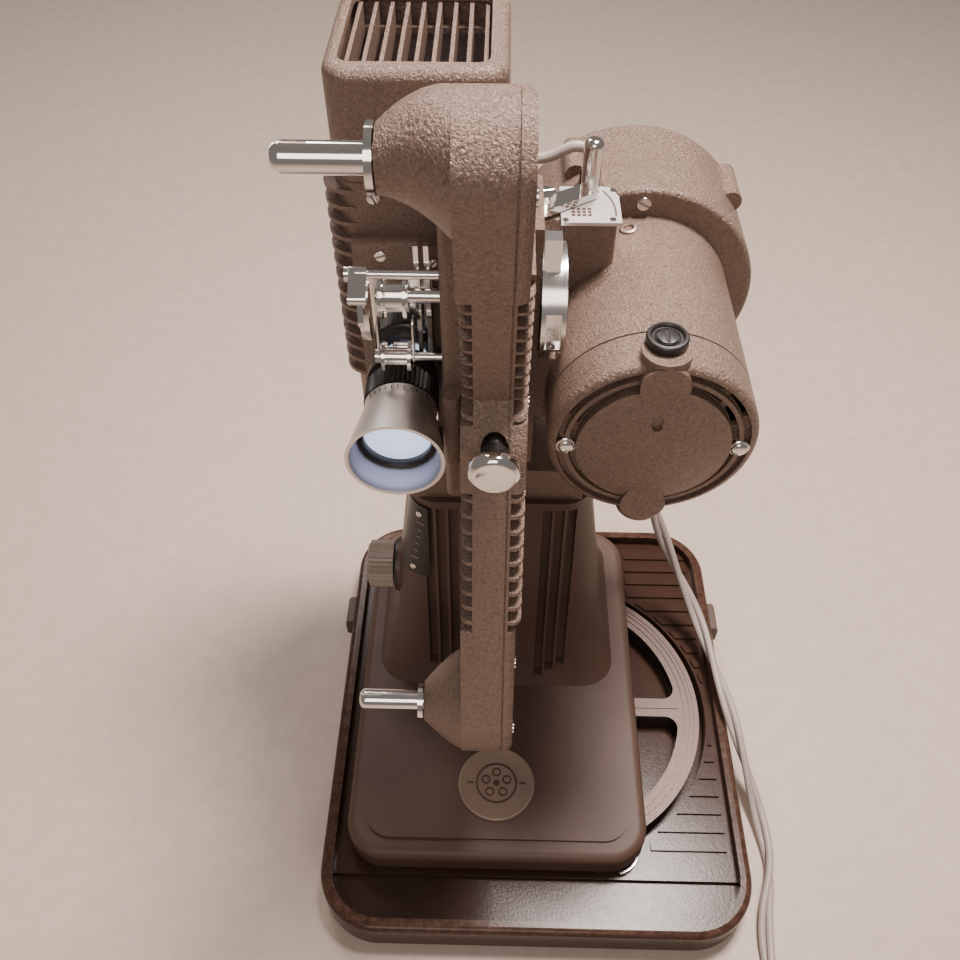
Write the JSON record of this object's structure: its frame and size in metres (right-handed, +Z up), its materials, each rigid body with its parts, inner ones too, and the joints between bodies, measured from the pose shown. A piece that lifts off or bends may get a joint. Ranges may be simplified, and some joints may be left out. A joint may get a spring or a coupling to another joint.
{
  "type": "film projector",
  "caption": "Small-gauge film projector with a finned lamphouse, reel arm, lens and blower motor on a flared base in its case tray.",
  "frame": {"origin": "on the table under the middle of the case tray", "axes": "+Z up, the lens points along -Y, the motor is on the +X side"},
  "size_m": [0.217, 0.345, 0.3577],
  "materials": {
    "crackle_bronze": "wrinkle enamel",
    "base_brown": "fine textured enamel",
    "tray_brown": "gloss enamel",
    "chrome": "polished",
    "steel": "ground",
    "satin_aluminium": "satin",
    "champagne": "satin",
    "reel_grey": "satin enamel",
    "black_plastic": "moulded",
    "cream_plastic": "moulded",
    "rubber": "matte",
    "cord_grey": "satin",
    "bronze": "sintered",
    "glass": "coated",
    "mirror": "silvered"
  },
  "bodies": {
    "projector_frame": {"case_tray": "tray_brown", "tray_feet": "rubber", "case_catches": "tray_brown", "base_housing": "base_brown", "base_seats": "rubber", "badge": "champagne", "speed_plate": "black_plastic", "knob_escutcheon": "black_plastic", "speed_rheostat": "black_plastic", "arm_casting": "crackle_bronze", "arm_cover": "crackle_bronze", "cover_screws": "steel", "bearings": "bronze", "drive_belts": "rubber", "mechanism_housing": "crackle_bronze", "gear_cover": "crackle_bronze", "film_gate_casting": "crackle_bronze", "aperture_plate": "chrome", "film_guides": "chrome", "lens_holder": "black_plastic", "lamphouse_body": "crackle_bronze", "lamp_bulb": "glass", "lamp_socket": "bronze", "reflector": "mirror", "condenser": "glass", "motor_can": "crackle_bronze", "motor_front_cap": "crackle_bronze", "brush_caps": "black_plastic", "motor_field": "steel", "blower_housing": "crackle_bronze", "switch_block": "crackle_bronze", "switch_plate": "satin_aluminium", "lamp_lead": "cord_grey", "cord_glands": "rubber", "cord_run": "cord_grey", "cord_coil": "cord_grey", "plug": "black_plastic"},
    "spare_reel": {"storage_reel": "reel_grey"},
    "speed_knob_body": {"speed_knob": "cream_plastic"},
    "feed_spindle": {"upper_spindle": "chrome"},
    "take_up_spindle": {"lower_spindle": "chrome"},
    "pressure_pad": {"pressure_plate": "chrome"},
    "focus_carrier": {"focus_sleeve": "steel"},
    "lens": {"lens_barrel": "black_plastic", "lens_hood": "satin_aluminium", "lens_glass": "glass"},
    "sprocket_drive": {"sprocket_shaft": "chrome"},
    "take_up_drive": {"take_up_shaft": "steel"},
    "film_roller": {"guide_roller": "chrome"},
    "keeper": {"film_keeper": "chrome"},
    "main_drive": {"main_shaft": "steel", "inching_knob": "chrome"},
    "shutter_disc": {"shutter": "steel"},
    "lamphouse_top": {"lamphouse_lid": "crackle_bronze", "lid_grille": "crackle_bronze"},
    "rotor": {"armature": "steel", "motor_shaft": "steel", "blower_fan": "satin_aluminium"},
    "lamp_switch": {"switch_lever": "chrome"},
    "clutch": {"clutch_lever": "chrome"}
  },
  "joints": [
    {"name": "reel_turn", "type": "hinge", "parent": "projector_frame", "child": "spare_reel", "pos_m": [0.01, 0, 0.01], "axis": [0, 0, 1], "continuous": true},
    {"name": "speed_turn", "type": "hinge", "parent": "projector_frame", "child": "speed_knob_body", "pos_m": [-0.0755, 0.038, 0.085], "axis": [-1, 0, 0], "range_deg": [0, 270]},
    {"name": "feed_spin", "type": "hinge", "parent": "projector_frame", "child": "feed_spindle", "pos_m": [-0.06, -0.031, 0.341], "axis": [-1, 0, 0], "continuous": true},
    {"name": "take_up_spin", "type": "hinge", "parent": "projector_frame", "child": "take_up_spindle", "pos_m": [-0.06, -0.0575, 0.128], "axis": [-1, 0, 0], "continuous": true},
    {"name": "pressure_slide", "type": "slide", "parent": "projector_frame", "child": "pressure_pad", "axis": [0, -1, 0], "range_m": [0, 0.0006], "stiffness_N_per_m": 300},
    {"name": "focus_slide", "type": "slide", "parent": "projector_frame", "child": "focus_carrier", "axis": [0, -1, 0], "range_m": [-0.002, 0.002]},
    {"name": "focus_turn", "type": "hinge", "parent": "focus_carrier", "child": "lens", "pos_m": [-0.056, 0, 0.2188], "axis": [0, -1, 0], "range_deg": [-180, 180]},
    {"name": "sprocket_spin", "type": "hinge", "parent": "projector_frame", "child": "sprocket_drive", "pos_m": [-0.04, 0.017, 0.264], "axis": [-1, 0, 0], "continuous": true},
    {"name": "take_up_drive_spin", "type": "hinge", "parent": "projector_frame", "child": "take_up_drive", "pos_m": [-0.03, 0.017, 0.226], "axis": [-1, 0, 0], "continuous": true},
    {"name": "roller_spin", "type": "hinge", "parent": "projector_frame", "child": "film_roller", "pos_m": [-0.056, 0.013, 0.241], "axis": [-1, 0, 0], "continuous": true},
    {"name": "keeper_swing", "type": "hinge", "parent": "projector_frame", "child": "keeper", "pos_m": [-0.056, 0.0055, 0.281], "axis": [-1, 0, 0], "range_deg": [0, 40], "stiffness_Nm_per_rad": 0.02},
    {"name": "main_spin", "type": "hinge", "parent": "projector_frame", "child": "main_drive", "pos_m": [-0.022, -0.04, 0.245], "axis": [0, -1, 0], "continuous": true},
    {"name": "shutter_spin", "type": "hinge", "parent": "projector_frame", "child": "shutter_disc", "pos_m": [-0.044, 0.036, 0.206], "axis": [0, -1, 0], "continuous": true},
    {"name": "lid_lift", "type": "slide", "parent": "projector_frame", "child": "lamphouse_top", "axis": [0, 0, 1], "range_m": [0, 0.04]},
    {"name": "motor_spin", "type": "hinge", "parent": "projector_frame", "child": "rotor", "pos_m": [0.029, 0.02, 0.236], "axis": [0, -1, 0], "continuous": true},
    {"name": "switch_swing", "type": "hinge", "parent": "projector_frame", "child": "lamp_switch", "pos_m": [-0.0073, 0.035, 0.287], "axis": [0, 0, 1], "range_deg": [-35, 20]},
    {"name": "clutch_rock", "type": "hinge", "parent": "projector_frame", "child": "clutch", "pos_m": [-0.006, 0.012, 0.268], "axis": [1, 0, 0], "range_deg": [-18, 18]}
  ],
  "couplings": [
    {"joint": "main_spin", "follows": "motor_spin", "ratio": 0.6907},
    {"joint": "shutter_spin", "follows": "motor_spin", "ratio": 0.6907},
    {"joint": "sprocket_spin", "follows": "motor_spin", "ratio": 0.0863},
    {"joint": "take_up_drive_spin", "follows": "motor_spin", "ratio": 0.0863},
    {"joint": "take_up_spin", "follows": "motor_spin", "ratio": 0.057},
    {"joint": "focus_slide", "follows": "focus_turn", "m_per_rad": 0.00063662}
  ]
}
